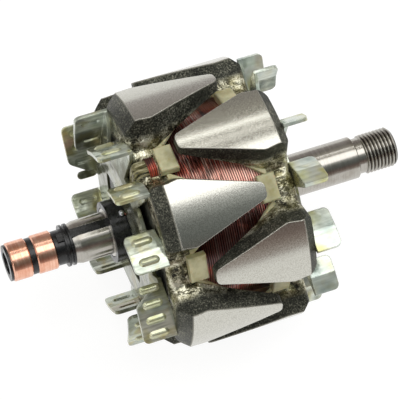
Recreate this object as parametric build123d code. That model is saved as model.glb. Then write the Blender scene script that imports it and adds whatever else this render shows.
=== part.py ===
from build123d import *
import math
import os

os.makedirs("parts", exist_ok=True)

# Frame: +X runs along the shaft to the threaded drive end, +Z is up, and the
# origin is on the shaft axis in the middle of the drive-end bearing seat.
# Angles are measured from +Y towards +Z. Lengths are in millimetres.

# Shaft
SEAT_RADIUS = 8.5
FAN_SEAT_RADIUS = 9.0
SHAFT_CORE_RADIUS = 10.0
NOSE_RADIUS = 4.5
DRIVE_SEAT_LENGTH = 14.0
PULLEY_SEAT_LENGTH = 14.4
RELIEF_LENGTH = 3.0
RELIEF_RADIUS = 7.2
THREAD_RADIUS = 7.95
THREAD_LENGTH = 13.6
THREAD_CHAMFER = 1.2
SLIP_END_SEAT_LENGTH = 12.7
SLIP_END_LEAD_IN = 2.6
SEAT_CHAMFER_DEPTH = 0.8
SEAT_EDGE = 0.4
CENTRE_HOLE_RADIUS = 2.2
CENTRE_HOLE_DEPTH = 4.5
HEX_SOCKET_ACROSS = 8.0
HEX_SOCKET_DEPTH = 7.0
SPACER_LENGTH = 6.6
SPACER_RADIUS = 12.4

# Lead slots in the slip-ring end of the shaft
SLOT_WIDTH = 3.6
SLOT_BOTTOM_RADIUS = 4.6
SLOT_ANGLES = (90.0, 270.0)

# Claw poles
POLE_RADIUS = 53.0
PACK_LENGTH = 56.5
POLE_PLATE = 10.0
CLAW_REACH = 41.2
CLAW_COUNT = 6
CLAW_ROOT_STATION = 10.5
CLAW_FACE_HALF_WIDTH = 12.1
CLAW_ROOT_HALF_WIDTH = 13.1
CLAW_TIP_HALF_WIDTH = 2.9
CLAW_TIP_ROUND = 2.4
CLAW_ROOT_ROUND = 5.0
CLAW_FLARE = 4.0
CLAW_TIP_THICKNESS = 4.0
CLAW_ROOT_THICKNESS = 12.0
VALLEY_DEPTH = 13.0
VALLEY_ROUND = 3.0
VALLEY_CORNER = 4.5
REAR_CHAMFER = 4.8
FRONT_CHAMFER = 4.0
REAR_CLAW_ANGLE = 0.0
FRONT_CLAW_ANGLE = 30.0

# Core, bobbin and winding
CORE_DEPTH = 26.0
BOBBIN_TUBE = 2.0
BOBBIN_FLANGE = 1.5
BOBBIN_FLANGE_GAP = 1.4
WINDING_DEPTH = 0.8
BLOCK_WIDTH = 10.8
BLOCK_STAND = 3.8
BLOCK_HOOK = 2.0
BLOCK_INWARD = 5.2
BLOCK_ROUND = 0.8
BLOCK_CLEARANCE = 0.3
PETAL_THICKNESS = 1.0
PETAL_GAP = 0.15
PETAL_LAP = 1.0
PETAL_LENGTH = 14.0
PETAL_ROOT_HALF_WIDTH = 16.5
PETAL_TIP_HALF_WIDTH = 6.4

# Fans. Each fan repeats its blades after half a turn. A blade is given by the
# angle of its middle, how far that lies inside the pole's rim, its lean from
# radial and its length.
SHEET = 1.5
SPOKE_LAP = 1.0
REAR_BLADES = (
    (39.4, 13.3, 46.4, 20.4),
    (73.8, 12.6, 61.3, 19.7),
    (102.8, 10.8, 42.8, 13.0),
    (134.0, 11.4, 52.7, 15.6),
    (174.3, 13.3, 52.7, 24.4),
)
REAR_CUT_BLADE = 4
REAR_BLADE_CUT = 9.0
FRONT_BLADES = (
    (38.6, 9.2, 12.0, 14.0),
    (57.4, 9.3, 33.0, 15.0),
    (92.2, 8.6, 34.9, 14.0),
    (119.0, 9.6, 34.0, 17.0),
    (149.8, 9.4, 37.9, 16.5),
    (183.9, 9.2, 20.0, 14.0),
)
REAR_FAN_DISH = 2.8
REAR_FAN_DISH_DEPTH = 24.0
REAR_FAN_DISH_WIDTH = 13.0
REAR_FAN_DISC_DEPTH = 21.0
REAR_BLADE_HEIGHT = 11.8
FRONT_FAN_DISC_DEPTH = 18.0
FRONT_BLADE_HEIGHT = 8.6
BLADE_CORNER = 2.2
BLADE_KNEE = 0.9
BEAD_RADIUS = 1.3
BEAD_LENGTH = 7.5
BEAD_HEIGHT = 0.7
BEAD_SINK = 0.05
BEAD_TAPER = 35
BEAD_STATION = 0.52
BEAD_PITCH = 5.5

# Slip rings and their moulded carrier
RING_RADIUS = 7.7
RING_WALL = 1.4
OUTER_RING_LENGTH = 7.8
INNER_RING_LENGTH = 8.0
RING_GAP = 2.25
RING_CHAMFER = 0.5
END_RIM = 1.0
NECK_RADIUS = 6.85
NECK_LENGTH = 4.0
LABYRINTH_RADIUS = 8.35
LABYRINTH_LENGTH = 2.9
LABYRINTH_RIDGE = 0.9
BAR_RADIUS = 8.3
BAR_RIB_LENGTH = 2.6
BAR_RIB_HEIGHT = 0.8
KEY_LAP = 1.0
HUB_RADIUS = 12.3
HUB_LENGTH = 10.7
HUB_GAP = 0.2
WING_LENGTH = 21.2
WING_WIDTH = 10.8
WING_THICKNESS = 1.5
WING_RECESS = 0.6
WING_ANGLE = 30.0
WING_GAP = 1.2

# Conductors, leads and joints
CONDUCTOR_WIDTH = 1.6
CONDUCTOR_THICKNESS = 0.8
CONDUCTOR_RADIUS = 4.9
LEAD_RADIUS = 0.5
SLEEVE_RADIUS = 1.0
LEAD_SPACING = 2.4
LEAD_CLEARANCE = 0.05
LEAD_VALLEY_GAP = 0.2
LEAD_ENTRY = 1.2
LEAD_ORBIT_STAND = 6.8
LEAD_ORBIT_ANGLE = 30.0
SLEEVE_FREE_END = 4.0
VALLEY_BEND = 2.0
END_BEND = 1.4
ORBIT_ENTRY_BEND = 5.0
ORBIT_BEND = 8.0
TERMINAL_STAND = 1.2
SOLDER_RADIUS = 1.3

# Radii that follow from the poles
CORE_RADIUS = POLE_RADIUS - CORE_DEPTH
VALLEY_RADIUS = POLE_RADIUS - VALLEY_DEPTH
CLAW_ROOT_INNER_RADIUS = POLE_RADIUS - CLAW_ROOT_THICKNESS
BOBBIN_FLANGE_RADIUS = CLAW_ROOT_INNER_RADIUS - BOBBIN_FLANGE_GAP
WINDING_RADIUS = BOBBIN_FLANGE_RADIUS - WINDING_DEPTH
BLOCK_TOP_RADIUS = VALLEY_RADIUS + BLOCK_STAND
REAR_FAN_DISH_INNER = POLE_RADIUS - REAR_FAN_DISH_DEPTH
REAR_FAN_DISH_OUTER = REAR_FAN_DISH_INNER + REAR_FAN_DISH_WIDTH
REAR_FAN_DISC_RADIUS = POLE_RADIUS - REAR_FAN_DISC_DEPTH
FRONT_FAN_DISC_RADIUS = POLE_RADIUS - FRONT_FAN_DISC_DEPTH

# Stations along the shaft, worked out from the lengths above
DRIVE_SEAT_END = DRIVE_SEAT_LENGTH / 2
SPACER_START = -DRIVE_SEAT_END - SPACER_LENGTH
PULLEY_SEAT_END = DRIVE_SEAT_END + PULLEY_SEAT_LENGTH
THREAD_START = PULLEY_SEAT_END + RELIEF_LENGTH
SHAFT_END = THREAD_START + THREAD_LENGTH
FRONT_FACE = SPACER_START - SHEET
REAR_FACE = FRONT_FACE - PACK_LENGTH
FRONT_PLATE_INNER = FRONT_FACE - POLE_PLATE
REAR_PLATE_INNER = REAR_FACE + POLE_PLATE
SHOULDER = REAR_FACE - HUB_GAP - HUB_LENGTH
SLIP_SEAT_START = SHOULDER - SLIP_END_SEAT_LENGTH
LEAD_IN_START = SLIP_SEAT_START - SLIP_END_LEAD_IN
LABYRINTH_START = LEAD_IN_START - LABYRINTH_LENGTH
NECK_START = LABYRINTH_START - NECK_LENGTH
INNER_RING_START = NECK_START - INNER_RING_LENGTH
OUTER_RING_END = INNER_RING_START - RING_GAP
OUTER_RING_START = OUTER_RING_END - OUTER_RING_LENGTH
RIM_START = OUTER_RING_START - END_RIM

AXIS = Plane(origin=(0, 0, 0), x_dir=(0, 1, 0), z_dir=(1, 0, 0))


def polar(radius, angle):
    """Point across the shaft, at an angle from +Y towards +Z."""
    return (radius * math.cos(math.radians(angle)), radius * math.sin(math.radians(angle)))


def on_shaft(solid):
    """Turn a solid built along its own Z so that it lies along the shaft."""
    return AXIS.location * solid


def turned(points):
    """Revolve an outline of (station, radius) points about the shaft axis."""
    outline = Plane.XZ * Polyline([(radius, station) for station, radius in points], close=True)
    return revolve(make_face(outline), Axis.Z)


def tube(start, end, inner, outer):
    return turned([(start, inner), (end, inner), (end, outer), (start, outer)])


def save(name, solid):
    solid.label = name
    export_step(solid, "parts/" + name + ".step")


# Shaft: one turned bar, largest under the poles, with two bearing seats, a relief
# groove before the thread and two slots that take the leads under the bearing.
def slot_cutter(width, bottom, top, start, end):
    """Two blocks at the slot angles, from one radius out to another."""
    block = Box(top - bottom, width, end - start, align=(Align.MIN, Align.CENTER, Align.MIN))
    block = Pos(bottom, 0, start) * block
    return [Rot(0, 0, angle) * block for angle in SLOT_ANGLES]


def make_shaft():
    seat_foot = SEAT_RADIUS - SEAT_CHAMFER_DEPTH
    shaft = turned([
        (OUTER_RING_START, 0),
        (OUTER_RING_START, NOSE_RADIUS),
        (LEAD_IN_START, NOSE_RADIUS),
        (LEAD_IN_START, seat_foot),
        (SLIP_SEAT_START, SEAT_RADIUS),
        (SHOULDER, SEAT_RADIUS),
        (SHOULDER, SHAFT_CORE_RADIUS - SEAT_EDGE),
        (SHOULDER + SEAT_EDGE, SHAFT_CORE_RADIUS),
        (FRONT_FACE, SHAFT_CORE_RADIUS),
        (FRONT_FACE, FAN_SEAT_RADIUS),
        (-DRIVE_SEAT_END, FAN_SEAT_RADIUS),
        (-DRIVE_SEAT_END, SEAT_RADIUS),
        (PULLEY_SEAT_END - SEAT_EDGE, SEAT_RADIUS),
        (PULLEY_SEAT_END, SEAT_RADIUS - SEAT_EDGE),
        (PULLEY_SEAT_END, RELIEF_RADIUS),
        (THREAD_START, RELIEF_RADIUS),
        (THREAD_START + THREAD_CHAMFER / 2, THREAD_RADIUS),
        (SHAFT_END - THREAD_CHAMFER, THREAD_RADIUS),
        (SHAFT_END, THREAD_RADIUS - THREAD_CHAMFER),
        (SHAFT_END, 0),
    ])
    for slot in slot_cutter(SLOT_WIDTH, SLOT_BOTTOM_RADIUS, POLE_RADIUS, LEAD_IN_START, REAR_FACE):
        shaft -= slot
    shaft -= turned([
        (OUTER_RING_START, 0),
        (OUTER_RING_START, CENTRE_HOLE_RADIUS),
        (OUTER_RING_START + CENTRE_HOLE_DEPTH, 0),
    ])
    socket = extrude(RegularPolygon(HEX_SOCKET_ACROSS / 2, 6, major_radius=False), HEX_SOCKET_DEPTH)
    shaft -= Pos(0, 0, SHAFT_END - HEX_SOCKET_DEPTH) * socket
    return shaft


# Spacer: plain ring that holds the drive-end bearing off the front fan.
def make_spacer():
    ring = tube(SPACER_START, -DRIVE_SEAT_END, FAN_SEAT_RADIUS, SPACER_RADIUS)
    outer_edges = ring.edges().filter_by(GeomType.CIRCLE).sort_by(lambda edge: edge.radius)[-2:]
    return chamfer(outer_edges, SEAT_EDGE)


# Claw pole: a forged plate with six arms that turn through a right angle into
# tapering fingers. The outer face is at station zero and the fingers point along +Z.
def finger_block(start):
    """Plan of one finger, widening towards the axis by the forging's draft."""
    plane = Plane(origin=(POLE_RADIUS, 0, 0), x_dir=(0, 0, 1), z_dir=(-1, 0, 0))
    half = [
        (start, CLAW_FACE_HALF_WIDTH),
        (CLAW_ROOT_STATION, CLAW_ROOT_HALF_WIDTH),
        (CLAW_REACH, CLAW_TIP_HALF_WIDTH),
    ]
    mirrored = [(station, -width) for station, width in reversed(half)]
    plan = make_face(Polyline(half + mirrored, close=True))
    plan = fillet(plan.vertices().sort_by(Axis.X)[2:4], CLAW_ROOT_ROUND)
    plan = fillet(plan.vertices().sort_by(Axis.X)[-2:], CLAW_TIP_ROUND)
    return extrude(plane * plan, POLE_RADIUS - CORE_RADIUS, taper=-CLAW_FLARE)


def claw_inner_radius(station):
    """Radius of a finger's underside at a station from the pole's outer face."""
    tip_radius = POLE_RADIUS - CLAW_TIP_THICKNESS
    share = (station - POLE_PLATE) / (CLAW_REACH - POLE_PLATE)
    return CLAW_ROOT_INNER_RADIUS + share * (tip_radius - CLAW_ROOT_INNER_RADIUS)


def make_arms(corner):
    """Plate with six arms, its valleys and its face edges rounded as forged."""
    spread = (POLE_RADIUS - CORE_RADIUS) * math.tan(math.radians(CLAW_FLARE))
    arm = make_face(Polyline([
        (CORE_RADIUS, -CLAW_FACE_HALF_WIDTH - spread),
        (POLE_RADIUS + corner, -CLAW_FACE_HALF_WIDTH),
        (POLE_RADIUS + corner, CLAW_FACE_HALF_WIDTH),
        (CORE_RADIUS, CLAW_FACE_HALF_WIDTH + spread),
    ], close=True))
    outline = Circle(VALLEY_RADIUS)
    for index in range(CLAW_COUNT):
        outline += Rot(0, 0, index * 360 / CLAW_COUNT) * arm
    valley_corners = outline.vertices().filter_by(lambda v: math.hypot(v.X, v.Y) < POLE_RADIUS)
    outline = fillet(valley_corners, VALLEY_CORNER)
    plate = extrude(outline, POLE_PLATE)
    plate = fillet(plate.faces().sort_by(Axis.Z)[0].edges(), VALLEY_ROUND)
    return plate & turned([
        (0, SHAFT_CORE_RADIUS),
        (0, POLE_RADIUS - corner),
        (corner, POLE_RADIUS),
        (POLE_PLATE, POLE_RADIUS),
        (POLE_PLATE, SHAFT_CORE_RADIUS),
    ])


def make_claw_pole(corner):
    ring = turned([
        (corner, CORE_RADIUS),
        (corner, POLE_RADIUS),
        (CLAW_REACH, POLE_RADIUS),
        (CLAW_REACH, POLE_RADIUS - CLAW_TIP_THICKNESS),
        (POLE_PLATE, CLAW_ROOT_INNER_RADIUS),
        (POLE_PLATE, CORE_RADIUS),
    ])
    finger = ring & finger_block(corner)
    pole = make_arms(corner)
    for index in range(CLAW_COUNT):
        pole += Rot(0, 0, index * 360 / CLAW_COUNT) * finger
    return pole


# Pole core: plain ring between the two plates, inside the bobbin.
def make_core():
    return tube(REAR_PLATE_INNER, FRONT_PLATE_INNER, SHAFT_CORE_RADIUS, CORE_RADIUS)


# Bobbin: moulded tube with two flanges. In every valley a block locks it against
# the pole plate, and under every finger a tapering petal keeps the wire off the steel.
def make_bobbin_block():
    """Block at angle zero for a plate whose inner face is at station zero."""
    hook_radius = VALLEY_RADIUS + BLOCK_CLEARANCE
    block = Box(
        BLOCK_TOP_RADIUS - hook_radius, BLOCK_WIDTH, BLOCK_HOOK + BLOCK_INWARD,
        align=(Align.MIN, Align.CENTER, Align.MIN),
    )
    block = fillet(block.edges().filter_by(lambda e: e.center().X > block.center().X), BLOCK_ROUND)
    block = Pos(hook_radius, 0, -BLOCK_HOOK) * block
    foot = Box(
        hook_radius - CORE_RADIUS - BOBBIN_TUBE, BLOCK_WIDTH, BOBBIN_FLANGE,
        align=(Align.MIN, Align.CENTER, Align.MIN),
    )
    return block + Pos(CORE_RADIUS + BOBBIN_TUBE, 0, 0) * foot


def make_petal():
    """Petal at angle zero, its outside just under the finger's inner face."""
    rise = claw_inner_radius(POLE_PLATE + PETAL_LENGTH) - PETAL_GAP
    root = CLAW_ROOT_INNER_RADIUS - PETAL_GAP
    ring = turned([
        (0, BOBBIN_FLANGE_RADIUS - PETAL_LAP),
        (0, root),
        (PETAL_LENGTH, rise),
        (PETAL_LENGTH, rise - PETAL_THICKNESS),
        (BOBBIN_FLANGE, root - PETAL_THICKNESS),
        (BOBBIN_FLANGE, BOBBIN_FLANGE_RADIUS - PETAL_LAP),
    ])
    plan = make_face(Polyline([
        (0, -PETAL_ROOT_HALF_WIDTH),
        (0, PETAL_ROOT_HALF_WIDTH),
        (PETAL_LENGTH, PETAL_TIP_HALF_WIDTH),
        (PETAL_LENGTH, -PETAL_TIP_HALF_WIDTH),
    ], close=True))
    plan = fillet(plan.vertices().sort_by(Axis.X)[-2:], CLAW_TIP_ROUND)
    plane = Plane(origin=(CORE_RADIUS, 0, 0), x_dir=(0, 0, 1), z_dir=(1, 0, 0))
    return ring & extrude(plane * plan, POLE_RADIUS - CORE_RADIUS)


def make_bobbin_end():
    """Flange with its blocks and petals, plate face at station zero."""
    end = tube(0, BOBBIN_FLANGE, CORE_RADIUS, BOBBIN_FLANGE_RADIUS)
    block = make_bobbin_block()
    petal = make_petal()
    for index in range(CLAW_COUNT):
        end += Rot(0, 0, index * 360 / CLAW_COUNT) * petal
        end += Rot(0, 0, (index + 0.5) * 360 / CLAW_COUNT) * block
    return end


def make_bobbin():
    bobbin = tube(REAR_PLATE_INNER, FRONT_PLATE_INNER, CORE_RADIUS, CORE_RADIUS + BOBBIN_TUBE)
    end = make_bobbin_end()
    bobbin += Pos(0, 0, REAR_PLATE_INNER) * Rot(0, 0, REAR_CLAW_ANGLE) * end
    bobbin += Pos(0, 0, FRONT_PLATE_INNER) * Rot(180, 0, 0) * Rot(0, 0, -FRONT_CLAW_ANGLE) * end
    return bobbin


# Winding: closed body of the enamelled wire, between the bobbin's flanges.
def make_winding():
    return tube(
        REAR_PLATE_INNER + BOBBIN_FLANGE, FRONT_PLATE_INNER - BOBBIN_FLANGE,
        CORE_RADIUS + BOBBIN_TUBE, WINDING_RADIUS,
    )


# Fans: stamped sheet with the blades folded up at the rim, away from the pole.
def blade_line(angle, inset, lean, length):
    """Inner end, knee and outer end of a blade's inside face, and its outside direction."""
    heading = math.radians(angle + lean)
    along = Vector(math.cos(heading), math.sin(heading))
    outside = Vector(math.sin(heading), -math.cos(heading))
    middle = Vector(*polar(POLE_RADIUS - inset, angle))
    inner = middle - along * (length / 2)
    outer = middle + along * (length / 2)
    return inner, middle + outside * BLADE_KNEE, outer, outside


def flat(point):
    return (point.X, point.Y)


def make_spoke(blade, hub_radius):
    """Plan of the sheet from the hub to one blade."""
    inner, knee, outer, outside = blade_line(*blade)
    inner_angle = math.degrees(math.atan2(inner.Y, inner.X))
    outer_angle = math.degrees(math.atan2(outer.Y, outer.X))
    return make_face(Polyline([
        polar(hub_radius, inner_angle),
        flat(inner + outside * SHEET),
        flat(knee + outside * SHEET),
        flat(outer + outside * SHEET),
        flat(outer),
        polar(hub_radius, outer_angle),
    ], close=True))


def make_blade(blade, foot, height, way, cut):
    """One blade standing on the station foot, pointing along +X or -X."""
    angle, inset, lean, length = blade
    inner, knee, outer, outside = blade_line(*blade)
    band = make_face(Polyline([
        flat(inner), flat(knee), flat(outer),
        flat(outer + outside * SHEET), flat(knee + outside * SHEET), flat(inner + outside * SHEET),
    ], close=True))
    band = Pos(0, 0, foot) * extrude(band, height, dir=(0, 0, way))
    heading = math.radians(angle + lean)
    along = (math.cos(heading), math.sin(heading), 0)
    centre = (inner + outer) * 0.5
    normal = Vector(*along).cross(Vector(0, 0, way))
    trim = make_face(Polyline([
        (-length / 2, 0), (length / 2, 0), (length / 2, height), (-length / 2 + cut, height),
    ], close=True))
    trim = fillet(trim.vertices().sort_by(Axis.Y)[-2:], BLADE_CORNER)
    plane = Plane(origin=(centre.X, centre.Y, foot), x_dir=along, z_dir=normal)
    return band & extrude(plane * trim, height, both=True)


def make_beads(blade, foot, height, way):
    """Tapered beads pressed out of both facets of a blade: raised ones and their hollows."""
    inner, knee, outer, outside = blade_line(*blade)
    slot = SlotOverall(BEAD_LENGTH, 2 * BEAD_RADIUS)
    station = foot + way * height * BEAD_STATION
    raised = []
    hollows = []
    for start, end in ((inner, knee), (knee, outer)):
        facet = end - start
        normal = Vector(facet.Y, -facet.X).normalized()
        count = max(1, int(facet.length / BEAD_PITCH))
        for index in range(count):
            point = start + facet * ((index + 0.5) / count)
            top = point + normal * (SHEET - BEAD_SINK)
            bottom = point - normal * BEAD_SINK
            for list_of_beads, place in ((raised, top), (hollows, bottom)):
                plane = Plane(origin=(place.X, place.Y, station), x_dir=(0, 0, 1), z_dir=normal)
                list_of_beads.append(extrude(plane * slot, BEAD_HEIGHT + BEAD_SINK, taper=BEAD_TAPER))
    return raised, hollows


def both_halves(blades):
    return [(angle + turn, *rest) for turn in (0, 180) for angle, *rest in blades]


def lobe_outline(gap):
    """Hub circle with two pointed lobes, grown by a gap."""
    length = WING_LENGTH + gap
    width = WING_WIDTH + gap
    bow = (length ** 2 + width ** 2) / (2 * width)
    lens = (Pos(0, bow - width) * Circle(bow)) & (Pos(0, width - bow) * Circle(bow))
    return Rot(0, 0, WING_ANGLE) * lens + Circle(HUB_RADIUS + gap)


def make_rear_fan():
    """Dished plate with a lobed opening and ten blades towards the slip rings."""
    outline = Circle(REAR_FAN_DISC_RADIUS)
    blades = both_halves(REAR_BLADES)
    for blade in blades:
        outline += make_spoke(blade, REAR_FAN_DISC_RADIUS - SPOKE_LAP)
    outline -= lobe_outline(WING_GAP)
    dish = REAR_FACE - REAR_FAN_DISH
    sheet = turned([
        (dish, 0), (dish, REAR_FAN_DISH_INNER), (REAR_FACE, REAR_FAN_DISH_OUTER),
        (REAR_FACE, POLE_RADIUS), (REAR_FACE - SHEET, POLE_RADIUS),
        (REAR_FACE - SHEET, REAR_FAN_DISH_OUTER), (dish - SHEET, REAR_FAN_DISH_INNER), (dish - SHEET, 0),
    ])
    height = REAR_BLADE_HEIGHT + SHEET
    outboard = turned([
        (dish, 0), (dish, REAR_FAN_DISH_INNER), (REAR_FACE, REAR_FAN_DISH_OUTER),
        (REAR_FACE, POLE_RADIUS), (REAR_FACE - 2 * height, POLE_RADIUS), (REAR_FACE - 2 * height, 0),
    ])
    fan = sheet & (Pos(0, 0, REAR_FACE - height) * extrude(outline, height))
    for index, blade in enumerate(blades):
        is_cut = index % len(REAR_BLADES) == REAR_CUT_BLADE
        cut = REAR_BLADE_CUT if is_cut else 0
        raised, hollows = make_beads(blade, REAR_FACE, height, -1)
        piece = make_blade(blade, REAR_FACE, height, -1, cut)
        piece = (piece + raised) - hollows
        fan += piece & outboard
    return fan


def make_front_fan():
    """Flat plate on the shaft with twelve blades towards the drive end."""
    outline = Circle(FRONT_FAN_DISC_RADIUS)
    blades = both_halves(FRONT_BLADES)
    for blade in blades:
        outline += make_spoke(blade, FRONT_FAN_DISC_RADIUS - SPOKE_LAP)
    outline -= Circle(FAN_SEAT_RADIUS)
    fan = Pos(0, 0, FRONT_FACE) * extrude(outline, SHEET)
    for blade in blades:
        fan += make_blade(blade, FRONT_FACE, FRONT_BLADE_HEIGHT + SHEET, 1, 0)
    return fan


# Slip rings: two plain copper rings on the moulded carrier.
def make_ring(start, length):
    ring = tube(start, start + length, RING_RADIUS - RING_WALL, RING_RADIUS)
    outer_edges = ring.edges().filter_by(GeomType.CIRCLE).sort_by(lambda edge: edge.radius)[-2:]
    return chamfer(outer_edges, RING_CHAMFER)


# Conductors: a flat copper strip from each ring, along the floor of its slot and
# out through the hub to a terminal.
TERMINAL_STATION = REAR_FACE - REAR_FAN_DISH - SHEET - TERMINAL_STAND


def make_conductor(angle, ring_start, ring_length):
    ring_middle = ring_start + ring_length / 2
    strip_end = TERMINAL_STATION + CONDUCTOR_THICKNESS / 2
    strip = Pos(CONDUCTOR_RADIUS, 0, ring_middle) * Box(
        CONDUCTOR_THICKNESS, CONDUCTOR_WIDTH, strip_end - ring_middle,
        align=(Align.MIN, Align.CENTER, Align.MIN),
    )
    riser = Pos(CONDUCTOR_RADIUS, 0, ring_middle) * Box(
        RING_RADIUS - RING_WALL - CONDUCTOR_RADIUS, CONDUCTOR_WIDTH, CONDUCTOR_THICKNESS * 2,
        align=(Align.MIN, Align.CENTER, Align.MIN),
    )
    riser &= Cylinder(RING_RADIUS - RING_WALL, 4 * PACK_LENGTH)
    terminal = Pos(CONDUCTOR_RADIUS, 0, TERMINAL_STATION) * Box(
        HUB_RADIUS - CONDUCTOR_RADIUS, CONDUCTOR_WIDTH, CONDUCTOR_THICKNESS,
        align=(Align.MIN, Align.CENTER, Align.CENTER),
    )
    return Rot(0, 0, angle) * (strip + riser + terminal)


# Slip-ring carrier: one moulding round the thin nose of the shaft, with a neck, a
# two-ridge labyrinth, bars in the shaft slots, a hub and two wings in the fan's lobes.
def make_carrier(conductors):
    under_ring = RING_RADIUS - RING_WALL
    rim_radius = RING_RADIUS - RING_CHAMFER
    body = turned([
        (RIM_START, NOSE_RADIUS),
        (RIM_START, rim_radius),
        (OUTER_RING_START, rim_radius),
        (OUTER_RING_START, under_ring),
        (OUTER_RING_END, under_ring),
        (OUTER_RING_END, rim_radius),
        (INNER_RING_START, rim_radius),
        (INNER_RING_START, under_ring),
        (NECK_START, under_ring),
        (NECK_START, NECK_RADIUS),
        (LABYRINTH_START, NECK_RADIUS),
        (LABYRINTH_START, LABYRINTH_RADIUS),
        (LABYRINTH_START + LABYRINTH_RIDGE, LABYRINTH_RADIUS),
        (LABYRINTH_START + LABYRINTH_RIDGE, NECK_RADIUS + LABYRINTH_RIDGE / 2),
        (LEAD_IN_START - LABYRINTH_RIDGE, NECK_RADIUS + LABYRINTH_RIDGE / 2),
        (LEAD_IN_START - LABYRINTH_RIDGE, LABYRINTH_RADIUS),
        (LEAD_IN_START, LABYRINTH_RADIUS),
        (LEAD_IN_START, NOSE_RADIUS),
    ])
    hub_end = SHOULDER + HUB_LENGTH
    body += tube(SHOULDER, hub_end, SHAFT_CORE_RADIUS, HUB_RADIUS)
    body += slot_cutter(SLOT_WIDTH, SLOT_BOTTOM_RADIUS, BAR_RADIUS, LEAD_IN_START, SHOULDER)
    body += slot_cutter(SLOT_WIDTH, SLOT_BOTTOM_RADIUS, SHAFT_CORE_RADIUS + KEY_LAP, SHOULDER, hub_end)
    rib_start = LABYRINTH_START - BAR_RIB_LENGTH
    body += slot_cutter(SLOT_WIDTH, SLOT_BOTTOM_RADIUS, NECK_RADIUS + BAR_RIB_HEIGHT, rib_start, LABYRINTH_START)
    wing_end = REAR_FACE - REAR_FAN_DISH - SHEET + WING_RECESS
    wings = extrude(lobe_outline(0) - Circle(SHAFT_CORE_RADIUS), WING_THICKNESS)
    body += Pos(0, 0, wing_end) * wings
    for conductor in conductors:
        body -= conductor
    return body


# Leads: both ends of the winding come up beside a block, lie in the valley over the
# top slot, turn down behind the dished fan and end at the two terminals.
LEAD_STATION = REAR_FACE - SLEEVE_RADIUS - LEAD_CLEARANCE
LEAD_VALLEY_RADIUS = VALLEY_RADIUS + SLEEVE_RADIUS + LEAD_VALLEY_GAP
LEAD_TERMINAL_RADIUS = HUB_RADIUS + LEAD_RADIUS + LEAD_CLEARANCE
LEAD_ORBIT_RADIUS = LEAD_TERMINAL_RADIUS + LEAD_ORBIT_STAND
SLEEVE_START = REAR_PLATE_INNER + BOBBIN_FLANGE
LEAD_START = SLEEVE_START + LEAD_ENTRY


def lead_route(side, bare):
    """Centre line of one lead, or of its sleeve, across the rear of the pole."""
    first = [(side, LEAD_VALLEY_RADIUS, SLEEVE_START)]
    bends = []
    if bare:
        first = [
            (side, WINDING_RADIUS - LEAD_RADIUS / 2, LEAD_START),
            (side, LEAD_VALLEY_RADIUS, LEAD_START),
        ]
        bends = [END_BEND]
    over = [(side, LEAD_VALLEY_RADIUS, LEAD_STATION)]
    return first + over, bends + [VALLEY_BEND]


def straight_lead(side, bare):
    points, bends = lead_route(side, bare)
    last = [(side, LEAD_TERMINAL_RADIUS + SLEEVE_FREE_END, LEAD_STATION)]
    if bare:
        last = [
            (side, LEAD_TERMINAL_RADIUS, LEAD_STATION),
            (side, LEAD_TERMINAL_RADIUS, TERMINAL_STATION),
        ]
        bends = bends + [END_BEND]
    return FilletPolyline(points + last, radius=bends)


def wrapped_lead(side, bare):
    """The other lead passes round the hub to the terminal on the far side."""
    points, bends = lead_route(side, bare)
    around = [
        (side, LEAD_ORBIT_RADIUS, LEAD_STATION),
        (*polar(LEAD_ORBIT_RADIUS, LEAD_ORBIT_ANGLE), LEAD_STATION),
        (*polar(LEAD_ORBIT_RADIUS, -LEAD_ORBIT_ANGLE), LEAD_STATION),
        (0, -LEAD_ORBIT_RADIUS, LEAD_STATION),
    ]
    bends = bends + [ORBIT_ENTRY_BEND, ORBIT_BEND, ORBIT_BEND]
    last = []
    if bare:
        last = [
            (0, -LEAD_TERMINAL_RADIUS, LEAD_STATION),
            (0, -LEAD_TERMINAL_RADIUS, TERMINAL_STATION),
        ]
        bends = bends + [END_BEND, END_BEND]
    return FilletPolyline(points + around + last, radius=bends)


def swept_round(path, radius):
    section = Plane(origin=path @ 0, z_dir=path % 0) * Circle(radius)
    return sweep(section, path=path)


def make_solder(angle, side, parts_inside):
    bead = Pos(*polar(HUB_RADIUS + LEAD_RADIUS, angle), TERMINAL_STATION) * Sphere(SOLDER_RADIUS)
    bead = Pos(side / 2, 0, 0) * bead
    for piece in parts_inside:
        bead -= piece
    return bead


start_side = -LEAD_SPACING / 2
end_side = LEAD_SPACING / 2
start_lead = swept_round(straight_lead(start_side, True), LEAD_RADIUS)
end_lead = swept_round(wrapped_lead(end_side, True), LEAD_RADIUS)
start_sleeve = swept_round(straight_lead(start_side, False), SLEEVE_RADIUS)
end_sleeve = swept_round(wrapped_lead(end_side, False), SLEEVE_RADIUS)

outer_conductor = make_conductor(SLOT_ANGLES[0], OUTER_RING_START, OUTER_RING_LENGTH)
inner_conductor = make_conductor(SLOT_ANGLES[1], INNER_RING_START, INNER_RING_LENGTH)
carrier = make_carrier([outer_conductor, inner_conductor])
bobbin = make_bobbin() - start_sleeve - end_sleeve - start_lead - end_lead
winding = make_winding() - start_lead - end_lead
start_joint = make_solder(SLOT_ANGLES[0], start_side, [carrier, outer_conductor, start_lead])
end_joint = make_solder(SLOT_ANGLES[1], 0, [carrier, inner_conductor, end_lead])

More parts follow.
